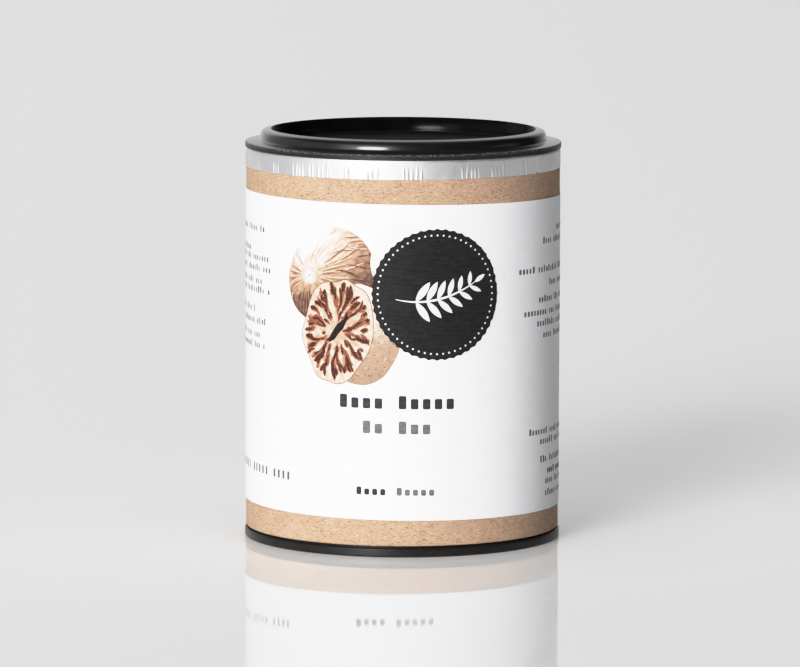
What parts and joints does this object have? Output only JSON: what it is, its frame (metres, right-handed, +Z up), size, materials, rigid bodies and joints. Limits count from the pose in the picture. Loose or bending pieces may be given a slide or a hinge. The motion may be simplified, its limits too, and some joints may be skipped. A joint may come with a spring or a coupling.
{
  "type": "shut paperboard spice can",
  "caption": "Round kraft paperboard can with a wrapped paper label, a foil-turned rim, a black plug lid with a raised ring and a black base cap; it keeps dry spices.",
  "frame": {"origin": "centre of the underside, on the surface that the can stands on", "axes": "+Z up along the can's axis, front of the label towards -Y, +X to the right as seen from the front"},
  "size_m": [0.0654, 0.0654, 0.0847],
  "materials": {
    "kraft_board": "unbleached brown kraft board with short pale and dark fibres, matte",
    "label_paper": "smooth white paper with a slight sheen, printed in charcoal, grey and nutmeg browns",
    "foil": "thin bright aluminium foil with a soft sheen, gathered into groups of small upright pleats",
    "lid_plastic": "black moulded plastic, glossy on the ring, with a rough and speckled edge on the flange",
    "base_plastic": "black moulded plastic, satin"
  },
  "bodies": {
    "root": {"tube": "kraft_board", "label": "label_paper", "foil_band": "foil", "lid": "lid_plastic", "base_cap": "base_plastic"}
  },
  "joints": []
}
